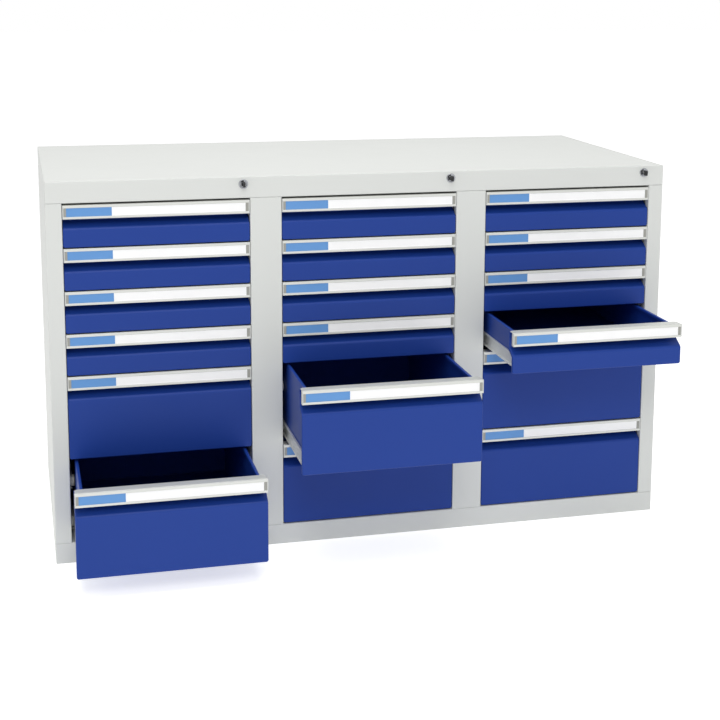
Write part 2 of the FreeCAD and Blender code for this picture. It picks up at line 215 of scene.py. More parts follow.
def newGroup(name, inputs, outputs):
    # inputs as a dictionary of labels and values, outputs as a list of labels
    group = bpy.data.node_groups.new(name, "ShaderNodeTree")
    for label, value in inputs.items():
        kind = "NodeSocketColor" if isinstance(value, tuple) else "NodeSocketFloat"
        socket = group.interface.new_socket(name=label, in_out="INPUT", socket_type=kind)
        socket.default_value = value
    for label in outputs:
        kind = "NodeSocketColor" if label == "Colour" else "NodeSocketFloat"
        group.interface.new_socket(name=label, in_out="OUTPUT", socket_type=kind)
    group.nodes.new("NodeGroupInput")
    group.nodes.new("NodeGroupOutput")
    return group, group.nodes["Group Input"].outputs, group.nodes["Group Output"].inputs


def mathNode(tree, operation, first, second):
    node = tree.nodes.new("ShaderNodeMath")
    node.operation = operation
    for socket, value in zip(node.inputs, (first, second)):
        if isinstance(value, (int, float)):
            socket.default_value = value
        else:
            tree.links.new(value, socket)
    return node.outputs[0]


def mixColour(tree, share, first, second):
    node = tree.nodes.new("ShaderNodeMix")
    node.data_type = "RGBA"
    for label, value in (("Factor_Float", share), ("A_Color", first), ("B_Color", second)):
        socket = next(s for s in node.inputs if s.identifier == label)
        if isinstance(value, (int, float, tuple)):
            socket.default_value = value
        else:
            tree.links.new(value, socket)
    return next(s for s in node.outputs if s.identifier == "Result_Color")


def noiseAt(tree, scale, detail=2.0, stretch=(1, 1, 1)):
    place = tree.nodes.new("ShaderNodeTexCoord")
    mapping = tree.nodes.new("ShaderNodeMapping")
    mapping.inputs["Scale"].default_value = stretch
    tree.links.new(place.outputs["Object"], mapping.inputs["Vector"])
    noise = tree.nodes.new("ShaderNodeTexNoise")
    noise.inputs["Detail"].default_value = detail
    tree.links.new(mapping.outputs[0], noise.inputs["Vector"])
    if isinstance(scale, (int, float)):
        noise.inputs["Scale"].default_value = scale
    else:
        tree.links.new(scale, noise.inputs["Scale"])
    return noise.outputs["Fac"]


def shiftedBy(tree, value, amount, middle=0.5):
    # how far a noise value lies from its middle, times an amount
    return mathNode(tree, "MULTIPLY", mathNode(tree, "SUBTRACT", value, middle), amount)


def tinted(tree, colour, shade):
    # the colour made lighter or darker by a shade that lies round zero
    node = tree.nodes.new("ShaderNodeVectorMath")
    node.operation = "SCALE"
    tree.links.new(colour, node.inputs[0])
    tree.links.new(mathNode(tree, "ADD", shade, 1.0), node.inputs["Scale"])
    return node.outputs[0]


white = (1, 1, 1, 1)
skinOutputs = ["Colour", "Roughness", "Height"]


def putOut(group, out, *values):
    for label, value in zip(skinOutputs, values):
        group.links.new(value, out[label])
    return group


edgeWearAndHighlightLook = {"samples": 4, "sharpness": 9.0, "breakScale": 160.0}


def makeEdgeWearAndHighlight():
    # mask along outer edges, broken up by noise: partly wear, partly a painted highlight that lightens the
    # edges
    group, given, out = newGroup("edgeWearAndHighlight", {"Radius": 0.0015, "Amount": 0.5}, ["Mask"])
    bevel = group.nodes.new("ShaderNodeBevel")
    bevel.samples = edgeWearAndHighlightLook["samples"]
    group.links.new(given["Radius"], bevel.inputs["Radius"])
    geometry = group.nodes.new("ShaderNodeNewGeometry")
    dot = group.nodes.new("ShaderNodeVectorMath")
    dot.operation = "DOT_PRODUCT"
    group.links.new(bevel.outputs[0], dot.inputs[0])
    group.links.new(geometry.outputs["Normal"], dot.inputs[1])
    bent = mathNode(group, "SUBTRACT", 1.0, dot.outputs["Value"])
    sharper = mathNode(group, "MULTIPLY", bent, edgeWearAndHighlightLook["sharpness"])
    broken = mathNode(group, "MULTIPLY", sharper, noiseAt(group, edgeWearAndHighlightLook["breakScale"]))
    mask = mathNode(group, "MULTIPLY", broken, given["Amount"])
    mask.node.use_clamp = True
    group.links.new(mask, out["Mask"])
    return group


coatLook = {"driftScale": 2.4, "speckScale": 900.0, "speckDepth": 0.03, "patchScale": 14.0,
            "patchDepth": 0.10, "wornAndHighlightColour": (0.62, 0.62, 0.62, 1)}


def makePowderCoat():
    # sprayed and baked paint: slow colour drift, uneven gloss and orange peel
    group, given, out = newGroup(
        "powderCoat", {"Colour": white, "Drift": 0.05, "Gloss": 0.4, "Peel scale": 550.0, "Wear and highlight": 0.0},
        skinOutputs)
    drift = shiftedBy(group, noiseAt(group, coatLook["driftScale"], 3.0), given["Drift"])
    speck = shiftedBy(group, noiseAt(group, coatLook["speckScale"], 1.0), coatLook["speckDepth"])
    coat = tinted(group, given["Colour"], mathNode(group, "ADD", drift, speck))
    patch = shiftedBy(group, noiseAt(group, coatLook["patchScale"], 3.0), coatLook["patchDepth"])
    # along the edge mask the coat mixes towards a light grey: part wear, part painted highlight on the blue
    # drawers
    return putOut(group, out, mixColour(group, given["Wear and highlight"], coat, coatLook["wornAndHighlightColour"]),
                  mathNode(group, "ADD", given["Gloss"], patch), noiseAt(group, given["Peel scale"]))


grainLook = {"lineScale": 700.0, "stretch": (0.012, 1, 1), "cloudScale": 9.0, "cloudDepth": 0.05}


def makeDrawnGrain():
    # fine lines along a drawn or rolled metal's length
    group, given, out = newGroup("drawnGrain", {"Colour": white, "Depth": 0.1, "Gloss": 0.3}, skinOutputs)
    lines = noiseAt(group, grainLook["lineScale"], 3.0, grainLook["stretch"])
    cloud = shiftedBy(group, noiseAt(group, grainLook["cloudScale"]), grainLook["cloudDepth"])
    shade = mathNode(group, "ADD", shiftedBy(group, lines, given["Depth"]), cloud)
    return putOut(group, out, tinted(group, given["Colour"], shade),
                  mathNode(group, "ADD", given["Gloss"], shade), lines)


bloomLook = {"cellShare": 0.5, "cloudScale": 30.0, "middle": 0.75, "dullness": 0.8, "roughness": 0.36}


def makeZincBloom():
    # cloudy, slightly crystalline look of plated steel
    group, given, out = newGroup(
        "zincBloom", {"Colour": white, "Cell scale": 260.0, "Contrast": 0.16}, skinOutputs)
    place = group.nodes.new("ShaderNodeTexCoord")
    cells = group.nodes.new("ShaderNodeTexVoronoi")
    group.links.new(place.outputs["Object"], cells.inputs["Vector"])
    group.links.new(given["Cell scale"], cells.inputs["Scale"])
    split = group.nodes.new("ShaderNodeSeparateColor")
    group.links.new(cells.outputs["Color"], split.inputs[0])
    cloud = noiseAt(group, bloomLook["cloudScale"], 3.0)
    cell = mathNode(group, "MULTIPLY", split.outputs[0], bloomLook["cellShare"])
    shade = shiftedBy(group, mathNode(group, "ADD", cell, cloud), given["Contrast"], bloomLook["middle"])
    dull = mathNode(group, "MULTIPLY", shade, bloomLook["dullness"])
    return putOut(group, out, tinted(group, given["Colour"], shade),
                  mathNode(group, "ADD", dull, bloomLook["roughness"]), cloud)


skinLook = {"cloudScale": 25.0, "cloudDepth": 0.08, "grainDepth": 0.12}


def makeMouldedSkin():
    # fine spark-eroded texture of a moulded plastic
    group, given, out = newGroup(
        "mouldedSkin", {"Colour": white, "Gloss": 0.5, "Texture scale": 1400.0}, skinOutputs)
    grain = noiseAt(group, given["Texture scale"])
    cloud = shiftedBy(group, noiseAt(group, skinLook["cloudScale"]), skinLook["cloudDepth"])
    dull = shiftedBy(group, grain, skinLook["grainDepth"])
    return putOut(group, out, tinted(group, given["Colour"], cloud),
                  mathNode(group, "ADD", given["Gloss"], dull), grain)


edgeWearAndHighlight = makeEdgeWearAndHighlight()
powderCoat = makePowderCoat()
drawnGrain = makeDrawnGrain()
zincBloom = makeZincBloom()
mouldedSkin = makeMouldedSkin()
print("shared node groups made")

bumpStrength = 0.5


def newMaterial(name, group, settings, bumpDepth, metallic=0.0):
    # a Principled shader fed by one of the shared groups
    material = bpy.data.materials.new(name)
    material.use_nodes = True
    tree = material.node_tree
    shader = tree.nodes["Principled BSDF"]
    shader.inputs["Metallic"].default_value = metallic
    skin = tree.nodes.new("ShaderNodeGroup")
    skin.node_tree = group
    for label, value in settings.items():
        skin.inputs[label].default_value = value
    tree.links.new(skin.outputs["Colour"], shader.inputs["Base Color"])
    tree.links.new(skin.outputs["Roughness"], shader.inputs["Roughness"])
    bump = tree.nodes.new("ShaderNodeBump")
    bump.inputs["Distance"].default_value = bumpDepth
    bump.inputs["Strength"].default_value = bumpStrength
    tree.links.new(skin.outputs["Height"], bump.inputs["Height"])
    tree.links.new(bump.outputs[0], shader.inputs["Normal"])
    return material, shader, skin


paintLook = {
    "bodyPaint": {"Colour": (0.700, 0.715, 0.690, 1), "Gloss": 0.46, "Drift": 0.03},
    "drawerPaint": {"Colour": (0.011, 0.046, 0.278, 1), "Gloss": 0.42, "Drift": 0.10},
    # strength of the edge mix, part wear and part painted highlight
    "wearAndHighlight": {"bodyPaint": 0.10, "drawerPaint": 0.08},
    "specular": {"bodyPaint": 0.30, "drawerPaint": 0.23},
    "peelDepth": 0.00003,
}


def paintMaterial(name):
    material, shader, skin = newMaterial(name, powderCoat, paintLook[name], paintLook["peelDepth"])
    tree = material.node_tree
    edge = tree.nodes.new("ShaderNodeGroup")
    edge.node_tree = edgeWearAndHighlight
    edge.inputs["Amount"].default_value = paintLook["wearAndHighlight"][name]
    tree.links.new(edge.outputs["Mask"], skin.inputs["Wear and highlight"])
    shader.inputs["Specular IOR Level"].default_value = paintLook["specular"][name]
    return material


bodyPaint = paintMaterial("bodyPaint")
drawerPaint = paintMaterial("drawerPaint")

metalLook = {
    "anodisedAluminium": {"Colour": (0.645, 0.655, 0.620, 1), "Depth": 0.08, "Gloss": 0.42},
    "zincSteel": {"Colour": (0.72, 0.73, 0.72, 1)},
    # the lock chrome's colour is set dark: a painted dark reflection in place of the dark surroundings
    # chrome mirrors
    "darkPaintedLockChrome": {"Colour": (0.34, 0.35, 0.37, 1), "Depth": 0.03, "Gloss": 0.12},
    "keyBladeNickel": {"Colour": (0.62, 0.60, 0.56, 1), "Depth": 0.08, "Gloss": 0.25},
    "bump": {"anodisedAluminium": 0.00001, "zincSteel": 0.00001, "darkPaintedLockChrome": 0.000002,
             "keyBladeNickel": 0.000005},
    "metallic": {"anodisedAluminium": 0.35, "zincSteel": 0.5, "darkPaintedLockChrome": 1.0, "keyBladeNickel": 1.0},
}


def metal(name, group):
    bump = metalLook["bump"][name]
    return newMaterial(name, group, metalLook[name], bump, metalLook["metallic"][name])[0]


anodised = metal("anodisedAluminium", drawnGrain)
zincSteel = metal("zincSteel", zincBloom)
# chrome darkened as a painted dark reflection
darkPaintedLockChrome = metal("darkPaintedLockChrome", drawnGrain)
bladeMetal = metal("keyBladeNickel", drawnGrain)

plasticLook = {
    "endCapPlastic": {"Colour": (0.60, 0.61, 0.59, 1), "Gloss": 0.45},
    "capTonguePlastic": {"Colour": (0.33, 0.33, 0.30, 1), "Gloss": 0.50},
    "rollerNylon": {"Colour": (0.80, 0.80, 0.77, 1), "Gloss": 0.40},
    "keyBowPlastic": {"Colour": (0.005, 0.005, 0.006, 1), "Gloss": 0.55},
    "bump": 0.00001,
}
cardPaperLook = {
    "whiteCard": {"Colour": (0.97, 0.97, 0.97, 1), "Gloss": 0.55, "Texture scale": 500.0},
    "blueCard": {"Colour": (0.115, 0.300, 0.640, 1), "Gloss": 0.50, "Texture scale": 500.0},
    "bump": 0.000005,
}


def moulded(name, look):
    return newMaterial(name, mouldedSkin, look[name], look["bump"])[0]


capPlastic = moulded("endCapPlastic", plasticLook)
tonguePlastic = moulded("capTonguePlastic", plasticLook)
rollerNylon = moulded("rollerNylon", plasticLook)
bowPlastic = moulded("keyBowPlastic", plasticLook)
whiteCard = moulded("whiteCard", cardPaperLook)
blueCard = moulded("blueCard", cardPaperLook)
print("materials made")


# Carcass

carcassLook = {"sheet": 0.0012, "bend": 0.0009, "bendSteps": 3, "stileReturn": 0.020,
               "backFlange": 0.025, "skirtReturn": 0.020, "cutEdge": 0.0004, "channelWidth": 0.060}
bays = ("left", "middle", "right")


def capSurface(name, low, high):
    # plate with a skirt on each side and a return along the foot of each skirt
    inset = carcassLook["skirtReturn"]
    bm = bmesh.new()

    def ring(reach, height):
        return [bm.verts.new((x, y, height)) for x, y in (
            (low.x + reach, low.y + reach), (high.x - reach, low.y + reach),
            (high.x - reach, high.y - reach), (low.x + reach, high.y - reach))]

    upper = ring(0, high.z)
    lower = ring(0, low.z)
    inner = ring(inset, low.z)
    bm.faces.new(upper)
    sleeve(bm, lower, upper)
    sleeve(bm, inner, lower)
    mouth = set(inner)
    bends = [edge for edge in bm.edges if not mouth & set(edge.verts)]
    bmesh.ops.bevel(bm, geom=bends, offset=carcassLook["sheet"] + carcassLook["bend"],
                    segments=carcassLook["bendSteps"], profile=0.5, affect="EDGES")
    return openMesh(bm, name)


def buildCap(name, node):
    low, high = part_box(node)
    cap = addPiece(name, capSurface(name, low, high), "carcass", bodyPaint, [node])
    solid = cap.modifiers.new("sheetThickness", "SOLIDIFY")
    solid.thickness = carcassLook["sheet"]
    solid.offset = -1
    solid.use_even_offset = True
    evenShading(cap)


def buildSide(label, side):
    low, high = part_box("side_panel_" + label)
    wall = low.x if side < 0 else high.x
    edge = high.x if side < 0 else low.x
    path = [(wall - side * carcassLook["backFlange"], high.y), (wall, high.y), (wall, low.y),
            (edge, low.y), (edge, low.y + carcassLook["stileReturn"])]
    mesh = foldedSheet("sidePanel", path, -side * carcassLook["sheet"], carcassLook["bend"],
                       "z", low.z, high.z)
    addPiece("sidePanel" + label.capitalize(), mesh, "carcass", bodyPaint,
             ["side_panel_" + label], carcassLook["cutEdge"], even=True)


def buildPartition(label):
    low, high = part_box("partition_" + label)
    sheet = carcassLook["sheet"]
    middle = (low.x + high.x) / 2
    stileBack = low.y + carcassLook["stileReturn"]
    stilePath = [(low.x, stileBack), (low.x, low.y), (high.x, low.y), (high.x, stileBack)]
    wallPath = [(middle + sheet / 2, low.y + sheet), (middle + sheet / 2, high.y),
                (middle - carcassLook["backFlange"], high.y)]
    meshes = [foldedSheet("sheet", path, sheet, carcassLook["bend"], "z", low.z, high.z)
              for path in (stilePath, wallPath)]
    addPiece("partition" + label.capitalize(), joined(meshes, "partition"), "carcass",
             bodyPaint, ["partition_" + label], carcassLook["cutEdge"], even=True)


def buildChannel():
    low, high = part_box("base_panel")
    half = carcassLook["channelWidth"] / 2
    under = high.z - carcassLook["sheet"]
    inset = carcassLook["skirtReturn"]
    path = [(-half, under), (-half, low.z), (half, low.z), (half, under)]
    mesh = foldedSheet("channel", path, carcassLook["sheet"], carcassLook["bend"], "x",
                       low.x + inset, high.x - inset)
    addPiece("baseChannel", mesh, "carcass", bodyPaint, ["base_panel"])


rivetLook = {"radius": 0.0032, "height": 0.0011, "pitch": 0.1, "endGap": 0.05, "edgeGap": 0.012,
             "domeSteps": 3, "steps": 16}


def domeProfile(start, height, radius):
    # low rivet head that rises from start along the axis
    count = rivetLook["domeSteps"]
    points = [(start, 0)]
    for step in range(count):
        angle = math.pi / 2 * step / count
        points.append((start + height * math.sin(angle), radius * math.cos(angle)))
    return points + [(start + height, 0)]


def buildBackRivets():
    # two rows of blind rivets where the back sheet meets the flanges of the partitions
    low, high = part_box("back_panel")
    count = int((high.z - low.z - 2 * rivetLook["endGap"]) / rivetLook["pitch"]) + 1
    heads = []
    for label in ("left", "right"):
        partLow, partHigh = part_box("partition_" + label)
        across = (partLow.x + partHigh.x) / 2 - rivetLook["edgeGap"]
        for step in range(count):
            height = low.z + rivetLook["endGap"] + step * rivetLook["pitch"]
            profile = domeProfile(high.y, rivetLook["height"], rivetLook["radius"])
            heads.append(turned("rivet", profile, "y", across, height, rivetLook["steps"]))
    addPiece("backRivets", joined(heads, "backRivets"), "carcass", zincSteel)


buildCap("topPanel", "top_panel")
buildCap("basePanel", "base_panel")
buildChannel()
buildSide("left", -1)
buildSide("right", 1)
buildPartition("left")
buildPartition("right")
buildBackRivets()


def paintNode(node, material):
    # a CAD node whose own shape stays gets the better material
    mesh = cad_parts[node].data
    if mesh.materials:
        for index in range(len(mesh.materials)):
            mesh.materials[index] = material
    else:
        mesh.materials.append(material)


paintNode("back_panel", bodyPaint)
paintNode("uprights", zincSteel)
for bay in bays:
    paintNode("locking_bar_" + bay, zincSteel)
print("carcass made")


# Cabinet rails with their front rollers

railLook = {"height": 0.031, "depth": 0.0065, "wall": 0.0012, "bend": 0.0008, "levels": 8,
            "rivetRadius": 0.003, "rivetHeight": 0.001}
rollerLook = {"width": 0.0103, "hubRadius": 0.0045, "dish": 0.0008, "rim": 0.0022, "ease": 0.0006,
              "steps": 28}


def railMesh(webPlace, tipPlace, low, start, end):
    path = [(tipPlace, low), (webPlace, low), (webPlace, low + railLook["height"]),
            (tipPlace, low + railLook["height"])]
    turn = 1 if webPlace > tipPlace else -1
    return foldedSheet("rail", path, turn * railLook["wall"], railLook["bend"], "y", start, end)


def rollerMesh(inner, outer, radius, y, z):
    # dished nylon wheel with a raised hub where the rivet's head sits, seen from the inner side
    turn = 1 if outer > inner else -1
    ease = rollerLook["ease"]
    rimRadius = radius - rollerLook["rim"]
    profile = [(inner, 0), (inner, rollerLook["hubRadius"]),
               (inner + turn * rollerLook["dish"], rollerLook["hubRadius"] + ease),
               (inner + turn * rollerLook["dish"], rimRadius - ease), (inner, rimRadius),
               (inner, radius - ease), (inner + turn * ease, radius), (outer - turn * ease, radius),
               (outer, radius - ease), (outer, 0)]
    return turned("roller", profile, "x", y, z, rollerLook["steps"])


def buildCabinetRails(bay):
    low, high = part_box("cabinet_rails_" + bay)
    rollerLow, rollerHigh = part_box("rail_rollers_" + bay)
    rollerRadius = (rollerHigh.y - rollerLow.y) / 2
    rollerPlace = (rollerHigh.y + rollerLow.y) / 2
    pitch = (high.z - low.z - railLook["height"]) / (railLook["levels"] - 1)
    centre = (low.x + high.x) / 2
    halfWidth = (high.x - low.x) / 2
    tip = halfWidth - railLook["depth"]
    wheelOuter = (rollerHigh.x - rollerLow.x) / 2
    wheelInner = wheelOuter - rollerLook["width"]
    rails = []
    rollers = []
    for side in (-1, 1):
        for level in range(railLook["levels"]):
            foot = low.z + level * pitch
            rails.append(railMesh(centre + side * halfWidth, centre + side * tip, foot, low.y, high.y))
            rollers.append(rollerMesh(centre + side * wheelInner, centre + side * wheelOuter,
                                      rollerRadius, rollerPlace, foot + railLook["height"] / 2))
    addPiece("cabinetRails_" + bay, joined(rails, "cabinetRails"), "carcass", zincSteel,
             ["cabinet_rails_" + bay])
    addPiece("frontRollers_" + bay, joined(rollers, "frontRollers"), "carcass",
             rollerNylon, ["rail_rollers_" + bay])


for bay in bays:
    buildCabinetRails(bay)
print("cabinet rails made")


# Drawers

frontLook = {"sheet": 0.0012, "edgeBend": 0.0022, "edgeSteps": 4, "foldBend": 0.008, "foldSteps": 4,
             "returnDepth": 0.008, "cornerRadius": 0.005, "cornerSteps": 5, "bandDrop": 0.054,
             "bandRise": 0.016, "bandDepth": 0.028, "lip": 0.008}
trayLook = {"inset": 0.012, "lift": 0.012, "topDrop": 0.004, "rim": 0.0075, "lip": 0.006,
            "bend": 0.0009, "backRimDrop": 0.0004}
handleLook = {"height": 0.0315, "wall": 0.0015, "topBead": 0.0055, "footBead": 0.0045, "recess": 0.0016,
              "lip": 0.0008, "lipDepth": 0.0006, "edge": 0.0004, "grooveGap": 0.003,
              "grooveWidth": 0.0022, "grooveDepth": 0.0009, "cornerCut": 0.005}
capLook = {"cheek": 0.001, "depth": 0.011, "corner": 0.0025, "cornerSteps": 5, "rim": 0.0018,
           "tongues": {-1: 0.0075, 1: 0.0085}, "tongueDrop": 0.0004, "edge": 0.0004}
cardLook = {"nameLength": 0.101, "thickness": 0.0008, "air": 0.0001, "edge": 0.00015}
runnerLook = {"lift": 0.012, "depth": 0.006, "backInset": 0.0005, "rollerInset": 0.0145,
              "rollerGap": 0.0003, "rivetGaps": (0.034, 0.30)}
catchLook = {"lift": 0.060, "height": 0.010, "reach": 0.008, "length": 0.020, "sheet": 0.002,
             "bend": 0.001, "place": 0.0357}
drawersInBay = 6


def arcPoints(first, second, radius, startTurn, endTurn, steps):
    points = []
    for step in range(steps + 1):
        turn = math.radians(startTurn + (endTurn - startTurn) * step / steps)
        points.append((first + radius * math.cos(turn), second + radius * math.sin(turn)))
    return points


def frontRing(place, inset, depth):
    # one line round the pan, from the band's left end down, along the foot and up to its right end
    slope = Vector((frontLook["bandDepth"], frontLook["bandRise"])).normalized()
    bandInward = Vector((slope.y, -slope.x))
    face = place["face"]
    foot = place["high"] - frontLook["bandDrop"]
    bandTop = Vector((face + frontLook["bandDepth"], foot + frontLook["bandRise"])) + bandInward * depth
    fold = []
    half = math.acos(max(-1, min(1, bandInward.x))) / 2
    radius = frontLook["foldBend"]
    setBack = radius * math.tan(half)
    centre = Vector((face + radius, foot - setBack))
    steps = frontLook["foldSteps"]
    for step in range(steps + 1):
        turn = 2 * half * (steps - step) / steps
        reach = radius - depth
        if reach > 0:
            fold.append(centre + Vector((-math.cos(turn), math.sin(turn))) * reach)
        else:
            fold.append(Vector((face, foot)) + Vector((1, -math.tan(half))) * depth)
    column = [bandTop] + fold
    cornerRadius = frontLook["cornerRadius"]
    left = place["left"] + cornerRadius
    right = place["right"] - cornerRadius
    low = place["low"] + cornerRadius
    line = [(place["left"] + inset, y, z) for y, z in column]
    for middle, turn in ((left, 180), (right, 270)):
        corner = arcPoints(middle, low, cornerRadius - inset, turn, turn + 90, frontLook["cornerSteps"])
        line += [(x, face + depth, z) for x, z in corner]
    line += [(place["right"] - inset, y, z) for y, z in reversed(column)]
    return line


def frontMesh(place):
    # outer and inner skin of the pan, from the face round the edge bend to the end of the return
    bend = frontLook["edgeBend"]
    steps = frontLook["edgeSteps"]
    columnSteps = frontLook["foldSteps"] + 1
    bm = bmesh.new()
    skins = []
    for offset in (0, frontLook["sheet"]):
        rings = []
        for step in range(steps + 1):
            turn = math.pi / 2 * step / steps
            inset = offset + (bend - offset) * (1 - math.sin(turn))
            depth = offset + (bend - offset) * (1 - math.cos(turn))
            rings.append(frontRing(place, inset, depth))
        rings.append(frontRing(place, offset, frontLook["returnDepth"]))
        skins.append([[bm.verts.new(spot) for spot in ring] for ring in rings])
    last = len(skins[0][0]) - 1
    for rings in skins:
        first = rings[0]
        strip(bm, first[:columnSteps + 1], first[:-columnSteps - 2:-1])
        bm.faces.new(first[columnSteps:last - columnSteps + 1])
        for ring, nextRing in zip(rings, rings[1:]):
            strip(bm, ring, nextRing)
    outer, inner = skins
    strip(bm, outer[-1], inner[-1])
    for end in (0, last):
        strip(bm, [ring[end] for ring in outer], [ring[end] for ring in inner])
    bm.faces.new((outer[0][0], outer[0][last], inner[0][last], inner[0][0]))
    return meshFrom(bm, "front")


def wallMesh(place):
    # wall behind the handle, from the band's top edge to the lip under the handle's flange
    back = place["face"] + frontLook["bandDepth"]
    foot = place["high"] - frontLook["bandDrop"] + frontLook["bandRise"]
    top = place["high"] - handleLook["wall"] - frontLook["sheet"]
    path = [(back, foot - frontLook["sheet"]), (back, top), (back - frontLook["lip"], top)]
    return foldedSheet("frontWall", path, -frontLook["sheet"], trayLook["bend"], "x",
                       place["left"], place["right"])


def trayMesh(place):
    sheet = frontLook["sheet"]
    bend = trayLook["bend"]
    left = place["left"] + trayLook["inset"]
    right = place["right"] - trayLook["inset"]
    floor = place["low"] + trayLook["lift"]
    top = place["high"] - trayLook["topDrop"]
    near = place["face"] + frontLook["bandDepth"] + sheet
    far = place["back"]
    rim = trayLook["rim"]
    lip = top - trayLook["lip"]
    sides = [(left + rim, lip), (left + rim, top), (left, top), (left, floor), (right, floor),
             (right, top), (right - rim, top), (right - rim, lip)]
    backTop = top - trayLook["backRimDrop"]
    back = [(far, floor + sheet), (far, backTop), (far - rim, backTop), (far - rim, lip)]
    nearWall = boxMesh("trayWall", (left + sheet, near, floor + sheet),
                       (right - sheet, near + sheet, top))
    return [foldedSheet("traySides", sides, sheet, bend, "y", near, far),
            foldedSheet("trayBack", back, sheet, bend, "x", left + sheet, right - sheet), nearWall]


def handleMesh(place):
    look = handleLook
    face = place["handleFace"]
    high = place["high"]
    recess = face + look["recess"]
    behind = recess + look["wall"]
    end = place["face"] + frontLook["bandDepth"] + frontLook["sheet"]
    foot = high - look["height"]
    beadFoot = high - look["topBead"]
    beadTop = foot + look["footBead"]
    lipBack = face + look["lipDepth"]
    groove = face + look["grooveGap"]
    outline = [(end, high), (groove + look["grooveWidth"], high),
               (groove + look["grooveWidth"] / 2, high - look["grooveDepth"]), (groove, high), (face, high),
               (face, beadFoot - look["lip"]), (lipBack, beadFoot - look["lip"]), (lipBack, beadFoot),
               (recess, beadFoot), (recess, beadTop), (lipBack, beadTop), (lipBack, beadTop + look["lip"]),
               (face, beadTop + look["lip"]), (face, foot), (behind, foot), (behind, high - look["wall"]),
               (end, high - look["wall"])]
    left = place["left"] + capLook["cheek"]
    right = place["right"] - capLook["cheek"]
    mesh = extruded("handle", outline, "x", left, right)
    bm = bmesh.new()
    bm.from_mesh(mesh)
    for side, tip in ((-1, left), (1, right)):
        everything = bm.verts[:] + bm.edges[:] + bm.faces[:]
        cut = bmesh.ops.bisect_plane(bm, geom=everything, plane_co=(tip, end - look["cornerCut"], high),
                                     plane_no=(side, 1, 0), clear_outer=True)
        rim = [part for part in cut["geom_cut"] if isinstance(part, bmesh.types.BMEdge)]
        bmesh.ops.contextual_create(bm, geom=rim)
    bpy.data.meshes.remove(mesh)
    return meshFrom(bm, "handle")


def capMeshes(place, side):
    # light cheek with a rim in front of the profile's end, and the darker tongue beside the card
    look = handleLook
    face = place["handleFace"]
    high = place["high"]
    foot = high - look["height"]
    back = face + capLook["depth"]
    corner = capLook["corner"]
    steps = capLook["cornerSteps"]
    outline = [(face, foot), (face, high)] + arcPoints(back - corner, high - corner, corner, 90, 0, steps)
    outline += arcPoints(back - corner, foot + corner, corner, 0, -90, steps)
    outer = place["right"] if side > 0 else place["left"]
    inner = outer - side * capLook["cheek"]
    rimEnd = inner - side * capLook["rim"]
    tip = inner - side * capLook["tongues"][side]
    low = foot + look["footBead"] + look["lip"]
    top = high - look["topBead"] - look["lip"]
    cheek = extruded("cheek", outline, "x", inner, outer)
    rim = boxMesh("rim", (rimEnd, face, low), (inner, face + look["recess"], top))
    tongue = boxMesh("tongue", (tip, face + capLook["tongueDrop"], low),
                     (rimEnd, face + look["recess"], top))
    return [cheek, rim], [tongue]


def cardMesh(place, start, end):
    look = handleLook
    back = place["handleFace"] + look["recess"]
    low = place["high"] - look["height"] + look["footBead"] + cardLook["air"]
    high = place["high"] - look["topBead"] - cardLook["air"]
    return boxMesh("card", (start, back - cardLook["thickness"], low), (end, back, high))


def runnerMeshes(place, side):
    # rail on the tray's side with its rivets, and the roller at its back end
    half = (place["right"] - place["left"]) / 2
    centre = (place["right"] + place["left"]) / 2
    web = half - trayLook["inset"]
    tip = web + runnerLook["depth"]
    inner = web + railLook["wall"]
    outer = place["opening"] - railLook["wall"] - runnerLook["rollerGap"]
    start = place["face"] + frontLook["returnDepth"]
    end = place["back"] - runnerLook["backInset"]
    foot = place["low"] + runnerLook["lift"]
    middle = foot + railLook["height"] / 2
    parts = [railMesh(centre + side * web, centre + side * tip, foot, start, end)]
    for gap in runnerLook["rivetGaps"]:
        dome = domeProfile(0, railLook["rivetHeight"], railLook["rivetRadius"])
        dome = [(centre + side * (inner + rise), radius) for rise, radius in dome]
        parts.append(turned("rivet", dome, "x", start + gap, middle, rivetLook["steps"]))
    roller = rollerMesh(centre + side * outer, centre + side * inner, place["rollerRadius"],
                        end - runnerLook["rollerInset"], middle)
    return parts, roller


def catchMesh(place):
    look = catchLook
    inner = place["right"] - trayLook["inset"]
    front = place["face"] + look["place"]
    path = [(inner + look["reach"], front), (inner, front), (inner, front + look["length"])]
    low = place["low"] + look["lift"]
    return foldedSheet("catch", path, -look["sheet"], look["bend"], "z", low, low + look["height"])


